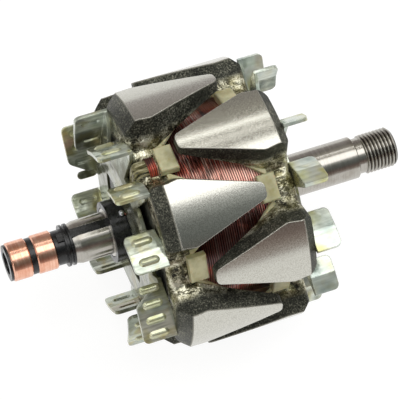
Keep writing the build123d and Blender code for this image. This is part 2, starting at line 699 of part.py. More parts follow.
pieces = {
    "shaft": make_shaft(),
    "drive_end_spacer": make_spacer(),
    "rear_claw_pole": Pos(0, 0, REAR_FACE) * Rot(0, 0, REAR_CLAW_ANGLE) * make_claw_pole(REAR_CHAMFER),
    "front_claw_pole": (
        Pos(0, 0, FRONT_FACE) * Rot(180, 0, 0) * Rot(0, 0, -FRONT_CLAW_ANGLE) * make_claw_pole(FRONT_CHAMFER)
    ),
    "pole_core": make_core(),
    "coil_bobbin": bobbin,
    "field_winding": winding,
    "rear_fan": make_rear_fan(),
    "front_fan": make_front_fan(),
    "slip_ring_carrier": carrier,
    "outer_slip_ring": make_ring(OUTER_RING_START, OUTER_RING_LENGTH),
    "inner_slip_ring": make_ring(INNER_RING_START, INNER_RING_LENGTH),
    "outer_ring_conductor": outer_conductor,
    "inner_ring_conductor": inner_conductor,
    "start_lead": start_lead,
    "end_lead": end_lead,
    "start_lead_sleeve": start_sleeve - start_lead,
    "end_lead_sleeve": end_sleeve - end_lead,
    "start_solder_joint": start_joint,
    "end_solder_joint": end_joint,
}

for name, solid in pieces.items():
    print(name, round(solid.volume, 1), len(solid.solids()))
    save(name, on_shaft(solid))
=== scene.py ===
import math

import bmesh
import bpy
from mathutils import Matrix, Vector


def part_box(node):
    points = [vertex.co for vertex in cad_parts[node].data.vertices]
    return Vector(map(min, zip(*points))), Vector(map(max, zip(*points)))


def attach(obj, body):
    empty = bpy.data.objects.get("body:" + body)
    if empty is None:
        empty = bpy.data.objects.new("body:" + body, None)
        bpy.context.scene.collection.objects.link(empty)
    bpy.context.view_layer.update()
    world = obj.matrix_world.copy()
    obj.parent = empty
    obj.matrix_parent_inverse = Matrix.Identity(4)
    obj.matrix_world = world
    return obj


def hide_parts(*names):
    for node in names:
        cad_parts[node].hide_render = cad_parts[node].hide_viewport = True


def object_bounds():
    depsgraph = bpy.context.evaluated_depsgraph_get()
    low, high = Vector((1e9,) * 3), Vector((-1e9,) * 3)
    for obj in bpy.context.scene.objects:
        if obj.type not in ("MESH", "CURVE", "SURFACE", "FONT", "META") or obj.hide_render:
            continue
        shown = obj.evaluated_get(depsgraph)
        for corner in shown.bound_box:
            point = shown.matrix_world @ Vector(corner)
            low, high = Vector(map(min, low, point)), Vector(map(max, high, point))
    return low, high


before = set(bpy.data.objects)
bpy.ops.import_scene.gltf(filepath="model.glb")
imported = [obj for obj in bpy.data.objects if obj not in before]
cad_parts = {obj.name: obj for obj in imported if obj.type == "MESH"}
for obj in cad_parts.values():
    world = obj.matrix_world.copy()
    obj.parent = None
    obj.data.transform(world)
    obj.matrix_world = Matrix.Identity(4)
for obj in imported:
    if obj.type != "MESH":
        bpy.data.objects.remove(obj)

cad_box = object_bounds()

# Camera: a long lens above the slip-ring end, tilted as the picture was taken, so
# that the shaft rises to the right.
VIEW_AIM = Vector((-0.04344, 0.00138, 0.00073))
VIEW_DISTANCE = 0.8819
VIEW_AZIMUTH = math.radians(-115.99)
VIEW_ELEVATION = math.radians(59.39)
VIEW_ROLL = math.radians(-5.75)
VIEW_LENS = 202.5
NEAREST_SEEN = 0.05
FARTHEST_SEEN = 20
towards_camera = Vector((
    math.cos(VIEW_ELEVATION) * math.cos(VIEW_AZIMUTH),
    math.cos(VIEW_ELEVATION) * math.sin(VIEW_AZIMUTH),
    math.sin(VIEW_ELEVATION),
))
level_right = Vector((0, 0, 1)).cross(towards_camera).normalized()
level_up = towards_camera.cross(level_right)
camera_up = math.cos(VIEW_ROLL) * level_up + math.sin(VIEW_ROLL) * level_right
camera_right = camera_up.cross(towards_camera)
camera_turn = Matrix((camera_right, camera_up, towards_camera)).transposed().to_4x4()
camera_place = VIEW_AIM + towards_camera * VIEW_DISTANCE
camera_data = bpy.data.cameras.new("studio_camera")
camera_data.lens = VIEW_LENS
camera_data.clip_start = NEAREST_SEEN
camera_data.clip_end = FARTHEST_SEEN
camera = bpy.data.objects.new("studio_camera", camera_data)
camera.matrix_world = Matrix.Translation(camera_place) @ camera_turn
bpy.context.scene.collection.objects.link(camera)
bpy.context.scene.camera = camera
bpy.context.scene.view_settings.view_transform = "Standard"


# Shaft: one bar of carbon steel, turned and then ground on its bearing seats, with
# a fine thread rolled on its drive end. The poles and their core are pressed onto it.
MM = 0.001
THREAD_START = 24.4 * MM
THREAD_END = 38.0 * MM
THREAD_PITCH = 1.5 * MM
THREAD_CREST = 7.95 * MM
THREAD_ROOT = 7.05 * MM
THREAD_FOOT = 7.2 * MM          # the radius that the thread runs in from
THREAD_NOSE = 6.75 * MM         # the radius of the chamfered tip
THREAD_CHAMFER = 1.2 * MM
THREAD_RUN_IN = 0.7 * MM
THREAD_FLANK = 1.25             # steepness: over 1 leaves the crests flat
THREAD_SIDES = 96
THREAD_STEPS_PER_PITCH = 12
END_FACE = 0.9                  # a face turned this far along the axis closes an end
MATCH_SLACK = 0.01 * MM
SHARP_CORNER = math.radians(32)
STEEL_DARK = "#a29e96"
STEEL_LIGHT = "#c0bdb6"
STEEL_STAIN = "#857a6a"
STAIN_SIZE = 6 * MM
STAIN_SHARE = 0.5
# the thread's grooves are darker towards their roots
THREAD_GROOVE_DARK = "#3d3a34"
GROOVE_TOP = THREAD_CREST - 0.25 * MM
GROOVE_BOTTOM = THREAD_ROOT + 0.15 * MM
THREAD_GROOVE_DARK_SHARE = 0.85
GRINDING_MARK = 0.5 * MM        # drawn coarser: real ones are under 0.02 mm apart
GRINDING_STRETCH = (1, 0.03, 0.03)
GRINDING_DEPTH = 0.001 * MM
EDGE_ROUND = 0.25 * MM
STREAK = 0.6                    # how far a reflection is drawn out
STREAK_TURN = 0.25              # a quarter turn draws it out along the axis


def linear(hex_colour):
    """An sRGB hex colour as linear red, green, blue and alpha."""
    channels = [int(hex_colour[at:at + 2], 16) / 255 for at in (1, 3, 5)]
    straight = [c / 12.92 if c <= 0.04045 else ((c + 0.055) / 1.055) ** 2.4 for c in channels]
    return (*straight, 1.0)


def add(tree, kind, inputs=None, stops=None, **settings):
    """Add a shader node: its settings, its input values or links, and a ramp's stops.

    A node given as an input stands for its first output. A Mix node takes numbers at
    inputs 2 and 3, and colours at inputs 6 and 7, which it gives at output 2.
    """
    made = tree.nodes.new(kind)
    for name, value in settings.items():
        setattr(made, name, value)
    for name, value in (inputs or {}).items():
        if isinstance(value, bpy.types.Node):
            value = value.outputs[0]
        if isinstance(value, bpy.types.NodeSocket):
            tree.links.new(value, made.inputs[name])
        else:
            made.inputs[name].default_value = value
    if stops:
        elements = made.color_ramp.elements
        elements[0].position, elements[0].color = stops[0][0], linear(stops[0][1])
        elements[1].position, elements[1].color = stops[-1][0], linear(stops[-1][1])
        for position, colour in stops[1:-1]:
            elements.new(position).color = linear(colour)
    return made


def bare_material(name):
    """A material with an empty tree, and the place of each point on the rotor in metres."""
    material = bpy.data.materials.new(name)
    material.use_nodes = True
    tree = material.node_tree
    tree.nodes.clear()
    return material, tree, add(tree, "ShaderNodeTexCoord").outputs["Object"]


def distance_from_axis(tree, place):
    """How far each point lies from the shaft's axis, in metres."""
    across = add(tree, "ShaderNodeVectorMath", {0: place, 1: (0, 1, 1)}, operation="MULTIPLY")
    return add(tree, "ShaderNodeVectorMath", {0: across}, operation="LENGTH").outputs["Value"]


def ground_carbon_steel():
    """Ground steel: fine marks round the axis draw each reflection out along it.

    The thread's grooves are darker, the more so the deeper they go.
    """
    material, tree, place = bare_material("ground_carbon_steel")
    round_the_axis = add(tree, "ShaderNodeMapping", {"Vector": place, "Scale": GRINDING_STRETCH})
    marks = add(tree, "ShaderNodeTexNoise", {"Vector": round_the_axis, "Scale": 1 / GRINDING_MARK})
    bright = add(tree, "ShaderNodeMix", {
        "Factor": marks, 6: linear(STEEL_DARK), 7: linear(STEEL_LIGHT),
    }, data_type="RGBA")
    stains = add(tree, "ShaderNodeTexNoise", {
        "Vector": place, "Scale": 1 / STAIN_SIZE, "Detail": 5.0,
    })
    stained = add(tree, "ShaderNodeMapRange", {
        "Value": stains, "From Min": 0.5, "From Max": 0.75, "To Max": STAIN_SHARE,
    })
    steel = add(tree, "ShaderNodeMix", {
        "Factor": stained, 6: bright.outputs[2], 7: linear(STEEL_STAIN),
    }, data_type="RGBA")
    # the thread's grooves turn darker the deeper they go
    deep = add(tree, "ShaderNodeMapRange", {
        "Value": distance_from_axis(tree, place), "From Min": GROOVE_TOP,
        "From Max": GROOVE_BOTTOM, "To Max": THREAD_GROOVE_DARK_SHARE,
    })
    station = add(tree, "ShaderNodeSeparateXYZ", {0: place}).outputs[0]
    threaded = add(tree, "ShaderNodeMapRange", {
        "Value": station, "From Min": THREAD_START, "From Max": THREAD_START + THREAD_RUN_IN,
    })
    darker_in_grooves = add(tree, "ShaderNodeMath", {0: deep, 1: threaded}, operation="MULTIPLY")
    colour = add(tree, "ShaderNodeMix", {
        "Factor": darker_in_grooves, 6: steel.outputs[2], 7: linear(THREAD_GROOVE_DARK),
    }, data_type="RGBA")
    rough = add(tree, "ShaderNodeMapRange", {
        "Value": marks, "From Min": 0.3, "From Max": 0.7, "To Min": 0.17, "To Max": 0.27,
    })
    edge = add(tree, "ShaderNodeBevel", {"Radius": EDGE_ROUND}, samples=4)
    bump = add(tree, "ShaderNodeBump", {
        "Height": marks, "Distance": GRINDING_DEPTH, "Normal": edge,
    })
    shader = add(tree, "ShaderNodeBsdfPrincipled", {
        "Base Color": colour.outputs[2], "Metallic": 1.0, "Roughness": rough, "Normal": bump,
        "Anisotropic": STREAK, "Anisotropic Rotation": STREAK_TURN,
        "Tangent": add(tree, "ShaderNodeTangent", direction_type="RADIAL", axis="X"),
    })
    add(tree, "ShaderNodeOutputMaterial", {"Surface": shader})
    return material


def dress(piece, material):
    """Give a piece its material."""
    piece.data.materials.clear()
    piece.data.materials.append(material)


def new_piece(name, mesh, material):
    """A new object with smooth faces and crisp corners that turns with the rotor."""
    mesh.shade_smooth()
    mesh.set_sharp_from_angle(angle=SHARP_CORNER)
    piece = bpy.data.objects.new(name, mesh)
    bpy.context.scene.collection.objects.link(piece)
    dress(piece, material)
    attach(piece, "root")
    return piece


def ring_round_axis(made, station, sides, radius_at):
    """A ring of points at a station on the axis, with its radius at each share of a turn."""
    ring = []
    for side in range(sides):
        turn = side / sides
        radius = radius_at(station, turn)
        ring.append(made.verts.new((
            station, radius * math.cos(math.tau * turn), radius * math.sin(math.tau * turn),
        )))
    return ring


def skin(made, rings, closed=False):
    """Faces between each ring of points and the next."""
    following = rings[1:] + rings[:1] if closed else rings[1:]
    for ring, after in zip(rings, following):
        for side in range(len(ring)):
            beside = (side + 1) % len(ring)
            made.faces.new((ring[side], ring[beside], after[beside], after[side]))


def finished_mesh(made, name):
    """The mesh made so far, ready for an object."""
    mesh = bpy.data.meshes.new(name)
    made.to_mesh(mesh)
    made.free()
    return mesh


def thread_radius(station, turn):
    """Radius of the thread at a station and at a share of a turn."""
    phase = (station / THREAD_PITCH - turn) % 1.0
    rise = min(1.0, THREAD_FLANK * (1.0 - abs(2.0 * phase - 1.0)))
    cut = THREAD_ROOT + (THREAD_CREST - THREAD_ROOT) * rise
    run_in = min(1.0, (station - THREAD_START) / THREAD_RUN_IN)
    chamfer_rise = (THREAD_CREST - THREAD_NOSE) / THREAD_CHAMFER
    limit = THREAD_NOSE + (THREAD_END - station) * chamfer_rise
    return min(THREAD_FOOT + (cut - THREAD_FOOT) * run_in, limit)


def threaded_shaft_mesh():
    """The shaft's own mesh, its plain end exchanged for a helical thread."""
    made = bmesh.new()
    made.from_mesh(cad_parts["shaft"].data)
    first, last = THREAD_START - MATCH_SLACK, THREAD_END + MATCH_SLACK
    inside = THREAD_NOSE - MATCH_SLACK
    plain_end = []
    for face in made.faces:
        points = [vertex.co for vertex in face.verts]
        on_end = all(first <= point.x <= last for point in points)
        outside = all(math.hypot(point.y, point.z) > inside for point in points)
        if on_end and outside and abs(face.normal.x) < END_FACE:
            plain_end.append(face)
    bmesh.ops.delete(made, geom=plain_end, context="FACES")
    length = THREAD_END - THREAD_START
    steps = round(length / THREAD_PITCH * THREAD_STEPS_PER_PITCH)
    rings = []
    for step in range(steps + 1):
        station = THREAD_START + length * step / steps
        rings.append(ring_round_axis(made, station, THREAD_SIDES, thread_radius))
    skin(made, rings)
    return finished_mesh(made, "threaded_shaft")


shaft_steel = ground_carbon_steel()
threaded_shaft = new_piece("threaded_shaft", threaded_shaft_mesh(), shaft_steel)
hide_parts("shaft")


# Pole core: a plain turned ring of the same steel under the winding, which carries
# the field from one pole to the other. The bobbin hides it.
dress(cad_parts["pole_core"], shaft_steel)


# Bobbin: moulded in natural polyamide, with petals that keep the wire off the claws
# and blocks that sit in the poles' valleys. Dipping varnish has stained it yellow.
BOBBIN_IVORY = "#ccc7a1"
BOBBIN_SHADE = "#b0ab82"
BOBBIN_VARNISH = "#aaa05c"
CLOUD_SIZE = 4 * MM
VARNISH_PATCH = 3 * MM
VARNISH_SHARE = 0.5
MOULD_GRAIN = 0.6 * MM          # drawn coarser: the mould's own grain is about 0.1 mm
MOULD_DEPTH = 0.03 * MM
MOULD_ROUND = 0.5 * MM


def natural_polyamide():
    """Moulded polyamide: a satin, slightly clouded skin that lets some light in."""
    material, tree, place = bare_material("natural_polyamide")
    cloud = add(tree, "ShaderNodeTexNoise", {
        "Vector": place, "Scale": 1 / CLOUD_SIZE, "Detail": 5.0,
    })
    clouded = add(tree, "ShaderNodeMapRange", {"Value": cloud, "From Min": 0.35, "From Max": 0.6})
    plain = add(tree, "ShaderNodeMix", {
        "Factor": clouded, 6: linear(BOBBIN_SHADE), 7: linear(BOBBIN_IVORY),
    }, data_type="RGBA")
    patch = add(tree, "ShaderNodeTexNoise", {
        "Vector": place, "Scale": 1 / VARNISH_PATCH, "Detail": 3.0,
    })
    stained = add(tree, "ShaderNodeMapRange", {
        "Value": patch, "From Min": 0.52, "From Max": 0.72, "To Max": VARNISH_SHARE,
    })
    colour = add(tree, "ShaderNodeMix", {
        "Factor": stained, 6: plain.outputs[2], 7: linear(BOBBIN_VARNISH),
    }, data_type="RGBA")
    grain = add(tree, "ShaderNodeTexNoise", {"Vector": place, "Scale": 1 / MOULD_GRAIN})
    edge = add(tree, "ShaderNodeBevel", {"Radius": MOULD_ROUND}, samples=4)
    bump = add(tree, "ShaderNodeBump", {"Height": grain, "Distance": MOULD_DEPTH, "Normal": edge})
    shader = add(tree, "ShaderNodeBsdfPrincipled", {
        "Base Color": colour.outputs[2], "Roughness": 0.3, "IOR": 1.53, "Normal": bump,
        "Subsurface Weight": 0.15, "Subsurface Scale": 1.0 * MM,
    })
    add(tree, "ShaderNodeOutputMaterial", {"Surface": shader})
    return material


dress(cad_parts["coil_bobbin"], natural_polyamide())


# Field winding: round copper wire in red polyester enamel, wound turn beside turn
# and soaked in clear varnish. The last turns are led back across the others.
WIRE_PITCH = 0.9 * MM           # drawn coarser: real turns lie about 0.8 mm apart
WIRE_STEPS = 6
COIL_SIDES = 180
COIL_BORE = 29.0 * MM
COIL_UNEVEN = 0.2 * MM
WAVES_ROUND = 3                 # waves in one turn of the uneven top layer
WAVE_ALONG = 400                # and how fast its two waves shift along the axis,
WAVE_ALONG_SLOW = 170           # in radians a metre
# the palest enamel colour is a painted highlight, on some turns and in the six patches round the
# coil
ENAMEL_PAINTED_HIGHLIGHT = "#f7cbb9"
ENAMEL_STOPS = [(0.28, "#471410"), (0.38, "#c24632"), (0.52, "#dd7a64"), (0.66, ENAMEL_PAINTED_HIGHLIGHT)]
# dark soaked varnish at random, and painted shade between the painted highlights
ENAMEL_BURNT_AND_SHADE = "#34140f"
# painted shade: near black in the grooves between turns
GROOVE_PAINTED_SHADE = "#180807"
GROOVE_HALF = 0.05              # the painted shade in the groove and its soft edge, as shares of the pitch from the groove's middle
GROOVE_SOFT = 0.18              # pitch from the groove's middle
GROOVE_SHARE = 0.9
TURN_DIFFERENCE = 0.8 * MM      # one turn differs from the next, and little along itself
TURN_STRETCH = (1, 0.015, 0.015)
SOAK_SIZE = 11 * MM
BURNT_AND_SHADE_SHARE = 0.9
CLAWS = 6
PAINTED_HIGHLIGHT_ANGLE = math.radians(108)  # where one of six painted highlights round the coil lies
PAINTED_HIGHLIGHT_SHARE = 0.6
PAINTED_SHADE_SWING = -0.17             # painted shade: darker away from the painted highlights
STRAND_COUNT = 9
STRAND_RADIUS = 0.38 * MM
STRAND_STEPS = 24
STRAND_SIDES = 8
STRAND_FIRST_ANGLE = math.radians(66)
STRAND_SPREAD = math.radians(7)
STRAND_ARC = math.radians(42)
STRAND_DRIFT = 5.0 * MM
STRAND_FIRST_SHARE = 0.1        # where the first starts across the coil, and how much
STRAND_SHARE_STEP = 0.085       # farther each next one does
STRAND_LIFT = 1.7               # in wire radii, where it crosses the others
coil_low, coil_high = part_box("field_winding")
COIL_RADIUS = coil_high.y
COIL_WIDTH = coil_high.x - coil_low.x


def enamelled_copper_wire():
    """Enamelled wire: a clear red gloss, a bright line on each turn, painted shade in the grooves,
    and painted highlights and painted shade round the coil.
    """
    material, tree, place = bare_material("enamelled_copper_wire")
    axes = add(tree, "ShaderNodeSeparateXYZ", {0: place}).outputs
    angle = add(tree, "ShaderNodeMath", {0: axes[2], 1: axes[1]}, operation="ARCTAN2")
    turn = add(tree, "ShaderNodeMath", {0: angle, 1: -1 / math.tau}, operation="MULTIPLY")
    phase = add(tree, "ShaderNodeMath", {
        0: axes[0], 1: 1 / WIRE_PITCH, 2: turn,
    }, operation="MULTIPLY_ADD")
    off_groove = add(tree, "ShaderNodeMath", {0: phase, 1: 0.5}, operation="PINGPONG")
    # painted shade in the grooves between turns
    in_groove = add(tree, "ShaderNodeMapRange", {
        "Value": off_groove, "From Min": GROOVE_HALF, "From Max": GROOVE_SOFT,
        "To Min": GROOVE_SHARE, "To Max": 0.0,
    })

    stretched = add(tree, "ShaderNodeMapping", {"Vector": place, "Scale": TURN_STRETCH})
    each_turn = add(tree, "ShaderNodeTexNoise", {
        "Vector": stretched, "Scale": 1 / TURN_DIFFERENCE, "Detail": 1.0,
    })
    # each turn its own red; the palest turns carry a painted highlight
    hue = add(tree, "ShaderNodeValToRGB", {0: each_turn}, stops=ENAMEL_STOPS)
    # painted highlights at six places round the coil, with painted shade between them
    sixths = add(tree, "ShaderNodeMath", {
        0: angle, 1: CLAWS, 2: -CLAWS * PAINTED_HIGHLIGHT_ANGLE,
    }, operation="MULTIPLY_ADD")
    light_round_coil = add(tree, "ShaderNodeMath", {0: sixths}, operation="COSINE")
    painted_highlight_mask = add(tree, "ShaderNodeMapRange", {
        "Value": light_round_coil, "From Min": 0.5, "To Max": PAINTED_HIGHLIGHT_SHARE,
    })
    highlighted = add(tree, "ShaderNodeMix", {
        "Factor": painted_highlight_mask, 6: hue, 7: linear(ENAMEL_PAINTED_HIGHLIGHT),
    }, data_type="RGBA")
    # darker soaked patches at random, deepened by painted shade away from the painted highlights
    soak = add(tree, "ShaderNodeTexNoise", {
        "Vector": place, "Scale": 1 / SOAK_SIZE, "Detail": 3.0,
    })
    soak_and_shade = add(tree, "ShaderNodeMath", {
        0: light_round_coil, 1: PAINTED_SHADE_SWING, 2: soak,
    }, operation="MULTIPLY_ADD")
    burnt_and_shaded = add(tree, "ShaderNodeMapRange", {
        "Value": soak_and_shade, "From Min": 0.42, "From Max": 0.6, "To Max": BURNT_AND_SHADE_SHARE,
    })
    soaked_and_shaded = add(tree, "ShaderNodeMix", {
        "Factor": burnt_and_shaded, 6: highlighted.outputs[2], 7: linear(ENAMEL_BURNT_AND_SHADE),
    }, data_type="RGBA")
    colour = add(tree, "ShaderNodeMix", {
        "Factor": in_groove, 6: soaked_and_shaded.outputs[2], 7: linear(GROOVE_PAINTED_SHADE),
    }, data_type="RGBA")
    shader = add(tree, "ShaderNodeBsdfPrincipled", {
        "Base Color": colour.outputs[2], "Metallic": 0.7, "Roughness": 0.28,
        "Coat Weight": 0.8, "Coat Roughness": 0.1, "Coat IOR": 1.55,
    })
    add(tree, "ShaderNodeOutputMaterial", {"Surface": shader})
    return material


def coil_surface(station, turn):
    """Radius of the top layer: a round ridge for each turn of an uneven helix."""
    phase = (station / WIRE_PITCH - turn) % 1.0
    across = 2.0 * phase - 1.0
    groove = (1.0 - math.sqrt(max(0.0, 1.0 - across * across))) * WIRE_PITCH / 2
    angle = math.tau * turn
    quick = math.sin(angle * WAVES_ROUND + station * WAVE_ALONG)
    slow = math.sin(angle + station * WAVE_ALONG_SLOW)
    return COIL_RADIUS - groove - COIL_UNEVEN * (0.5 + 0.5 * quick * slow)


def coil_bore(station, turn):
    """Radius of the coil's plain bore, the same all round."""
    return COIL_BORE


def wound_coil_mesh():
    """A closed ring: ridged outside, with plain ends and bore."""
    made = bmesh.new()
    steps = round(COIL_WIDTH / WIRE_PITCH * WIRE_STEPS)
    rings = [ring_round_axis(made, coil_low.x, COIL_SIDES, coil_bore)]
    for step in range(steps + 1):
        station = coil_low.x + COIL_WIDTH * step / steps
        rings.append(ring_round_axis(made, station, COIL_SIDES, coil_surface))
    rings.append(ring_round_axis(made, coil_high.x, COIL_SIDES, coil_bore))
    skin(made, rings, closed=True)
    return finished_mesh(made, "wound_coil")


def wire_mesh(name, points, radius):
    """A round wire with closed ends along a list of points."""
    made = bmesh.new()
    rings = []
    for index, point in enumerate(points):
        before = points[max(0, index - 1)]
        after = points[min(len(points) - 1, index + 1)]
        along = (after - before).normalized()
        outward = Vector((0, point.y, point.z)).normalized()
        sideways = along.cross(outward).normalized()
        outward = sideways.cross(along)
        ring = []
        for side in range(STRAND_SIDES):
            angle = math.tau * side / STRAND_SIDES
            offset = math.cos(angle) * outward + math.sin(angle) * sideways
            ring.append(made.verts.new(point + radius * offset))
        rings.append(ring)
    skin(made, rings)
    made.faces.new(list(reversed(rings[0])))
    made.faces.new(rings[-1])
    bmesh.ops.recalc_face_normals(made, faces=made.faces)
    return finished_mesh(made, name)


def crossing_strand_points(index):
    """Middle line of one turn that is led back across the others."""
    first = STRAND_FIRST_ANGLE + STRAND_SPREAD * index
    start = coil_low.x + (STRAND_FIRST_SHARE + STRAND_SHARE_STEP * index) * COIL_WIDTH
    points = []
    for step in range(STRAND_STEPS + 1):
        share = step / STRAND_STEPS
        angle = first + STRAND_ARC * share
        radius = COIL_RADIUS - STRAND_RADIUS * (1.0 - STRAND_LIFT * math.sin(math.pi * share))
        points.append(Vector((
            start + STRAND_DRIFT * share, radius * math.cos(angle), radius * math.sin(angle),
        )))
    return points


wire = enamelled_copper_wire()
wound_coil = new_piece("wound_coil", wound_coil_mesh(), wire)
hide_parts("field_winding")
for index in range(STRAND_COUNT):
    name = "crossing_strand_%d" % (index + 1)
    strand = wire_mesh(name, crossing_strand_points(index), STRAND_RADIUS)
    new_piece(name, strand, wire)


# Claw poles: low-carbon steel forgings pressed onto the shaft. Only the outsides of
# the claws are turned bright. The rest keeps its dark grainy skin from the forge,
# with clear varnish run into the valleys between the claws.
POLE_RADIUS = 53.0 * MM
TURNED_DEPTH = 0.15 * MM
TURNED_DARK = "#b9b7ae"
TURNED_LIGHT = "#cccbc2"
TURNING_MARK = 0.5 * MM         # drawn coarser: the tool moved about 0.15 mm a turn
TURNING_STRETCH = (1, 0.02, 0.02)
TURNING_DEPTH = 0.004
TURNED_GRAIN = 0.45 * MM        # drawn coarser: torn metal about 0.05 mm across
TURNED_GRAIN_DEPTH = 0.006      # this depth and the others here are in millimetres
FORGED_STOPS = [(0.36, "#1c1d19"), (0.47, "#35362f"), (0.55, "#53544a"), (0.66, "#9b9989")]
FORGING_GRAIN = 0.6 * MM        # drawn coarser: real pits are about 0.2 mm wide
FORGING_DEPTH = 0.3
FORGING_ROUND = 0.5 * MM
FLAKE_SIZE = 2.5 * MM
FLAKE_SHARE = 0.2
TONE_SIZE = 12 * MM
TONE_SHIFT = 0.035
VARNISH_STOPS = [(0.41, "#2b2a22"), (0.46, "#615e4b"), (0.51, "#a19d84"), (0.58, "#e0ddc8")]
VARNISH_YELLOW = "#a39a62"
VARNISH_YELLOW_SHARE = 0.3
VARNISH_RUN = 7 * MM
LUMP_SIZE = 4 * MM
LUMP_SHARE = 0.65
LUMP_DEPTH = 1.3
VALLEY_INNER = 38 * MM
VALLEY_INNER_FADE = 2 * MM
VALLEY_OUTER = 44 * MM
VALLEY_OUTER_FADE = 3 * MM
# painted highlight: a pale band along the claws' rims
RIM_PAINTED_HIGHLIGHT = "#bab7a9"
RIM_HIGHLIGHT_DEPTH = 0.6 * MM
RIM_HIGHLIGHT_SHARE = 0.6


def forged_low_carbon_steel():
    """Forged steel: black pitted scale, and a fine bright grain where it is turned.

    In the valleys the varnish lies in glossy pale lumps, and a painted highlight lightens the
    claws' rims.
    """
    material, tree, place = bare_material("forged_low_carbon_steel")
    radius = distance_from_axis(tree, place)
    turned = add(tree, "ShaderNodeMapRange", {
        "Value": radius, "From Min": POLE_RADIUS - TURNED_DEPTH,
        "From Max": POLE_RADIUS - TURNED_DEPTH / 2,
    })
    pits = add(tree, "ShaderNodeTexNoise", {
        "Vector": place, "Scale": 1 / FORGING_GRAIN, "Detail": 3.0, "Roughness": 0.65,
    })
    flakes = add(tree, "ShaderNodeTexNoise", {
        "Vector": place, "Scale": 1 / FLAKE_SIZE, "Detail": 5.0, "Roughness": 0.7,
    })
    pitted = add(tree, "ShaderNodeMath", {0: pits, 1: 1 - FLAKE_SHARE}, operation="MULTIPLY")
    forged = add(tree, "ShaderNodeMath", {
        0: flakes, 1: FLAKE_SHARE, 2: pitted,
    }, operation="MULTIPLY_ADD")
    patches = add(tree, "ShaderNodeTexNoise", {
        "Vector": place, "Scale": 1 / TONE_SIZE, "Detail": 3.0,
    })
    tone = add(tree, "ShaderNodeMapRange", {
        "Value": patches, "From Min": 0.35, "From Max": 0.65,
        "To Min": -TONE_SHIFT, "To Max": TONE_SHIFT,
    })
    toned = add(tree, "ShaderNodeMath", {0: forged, 1: tone}, operation="ADD")
    forged_colour = add(tree, "ShaderNodeValToRGB", {0: toned}, stops=FORGED_STOPS)

    lumps = add(tree, "ShaderNodeTexNoise", {
        "Vector": place, "Scale": 1 / LUMP_SIZE, "Detail": 3.0, "Roughness": 0.6,
    })
    pitted = add(tree, "ShaderNodeMath", {0: pits, 1: 1 - LUMP_SHARE}, operation="MULTIPLY")
    lumpy = add(tree, "ShaderNodeMath", {
        0: lumps, 1: LUMP_SHARE, 2: pitted,
    }, operation="MULTIPLY_ADD")
    varnish = add(tree, "ShaderNodeValToRGB", {0: lumpy}, stops=VARNISH_STOPS)
    run = add(tree, "ShaderNodeTexNoise", {
        "Vector": place, "Scale": 1 / VARNISH_RUN, "Detail": 2.0,
    })
    yellowed = add(tree, "ShaderNodeMapRange", {
        "Value": run, "From Min": 0.48, "From Max": 0.66, "To Max": VARNISH_YELLOW_SHARE,
    })
    varnish_colour = add(tree, "ShaderNodeMix", {
        "Factor": yellowed, 6: varnish, 7: linear(VARNISH_YELLOW),
    }, data_type="RGBA")
    above = add(tree, "ShaderNodeMapRange", {
        "Value": radius, "From Min": VALLEY_INNER - VALLEY_INNER_FADE, "From Max": VALLEY_INNER,
    })
    below = add(tree, "ShaderNodeMapRange", {
        "Value": radius, "From Min": VALLEY_OUTER + VALLEY_OUTER_FADE, "From Max": VALLEY_OUTER,
    })
    in_valley = add(tree, "ShaderNodeMath", {0: above, 1: below}, operation="MULTIPLY")
    colour_below_highlight = add(tree, "ShaderNodeMix", {
        "Factor": in_valley, 6: forged_colour, 7: varnish_colour.outputs[2],
    }, data_type="RGBA")
    # painted highlight just below the turned faces, along the claws' rims
    rim_highlight = add(tree, "ShaderNodeMapRange", {
        "Value": radius, "From Min": POLE_RADIUS - RIM_HIGHLIGHT_DEPTH,
        "From Max": POLE_RADIUS - TURNED_DEPTH, "To Max": RIM_HIGHLIGHT_SHARE,
    })
    skin_colour = add(tree, "ShaderNodeMix", {
        "Factor": rim_highlight, 6: colour_below_highlight.outputs[2], 7: linear(RIM_PAINTED_HIGHLIGHT),
    }, data_type="RGBA")

    round_the_axis = add(tree, "ShaderNodeMapping", {"Vector": place, "Scale": TURNING_STRETCH})
    marks = add(tree, "ShaderNodeTexNoise", {
        "Vector": round_the_axis, "Scale": 1 / TURNING_MARK, "Detail": 1.0,
    })
    grain = add(tree, "ShaderNodeTexNoise", {
        "Vector": place, "Scale": 1 / TURNED_GRAIN, "Detail": 1.0,
    })
    grained = add(tree, "ShaderNodeMapRange", {"Value": grain, "From Min": 0.35, "From Max": 0.6})
    turned_colour = add(tree, "ShaderNodeMix", {
        "Factor": grained, 6: linear(TURNED_DARK), 7: linear(TURNED_LIGHT),
    }, data_type="RGBA")
    colour = add(tree, "ShaderNodeMix", {
        "Factor": turned, 6: skin_colour.outputs[2], 7: turned_colour.outputs[2],
    }, data_type="RGBA")

    forged_rough = add(tree, "ShaderNodeMapRange", {
        "Value": pits, "From Min": 0.35, "From Max": 0.65, "To Min": 0.36, "To Max": 0.6,
    })
    varnished_rough = add(tree, "ShaderNodeMapRange", {
        "Value": pits, "From Min": 0.35, "From Max": 0.65, "To Min": 0.12, "To Max": 0.25,
    })
    turned_rough = add(tree, "ShaderNodeMapRange", {
        "Value": grain, "From Min": 0.3, "From Max": 0.7, "To Min": 0.16, "To Max": 0.26,
    })
    skin_rough = add(tree, "ShaderNodeMix", {
        "Factor": in_valley, 2: forged_rough, 3: varnished_rough,
    })
    rough = add(tree, "ShaderNodeMix", {"Factor": turned, 2: skin_rough, 3: turned_rough})

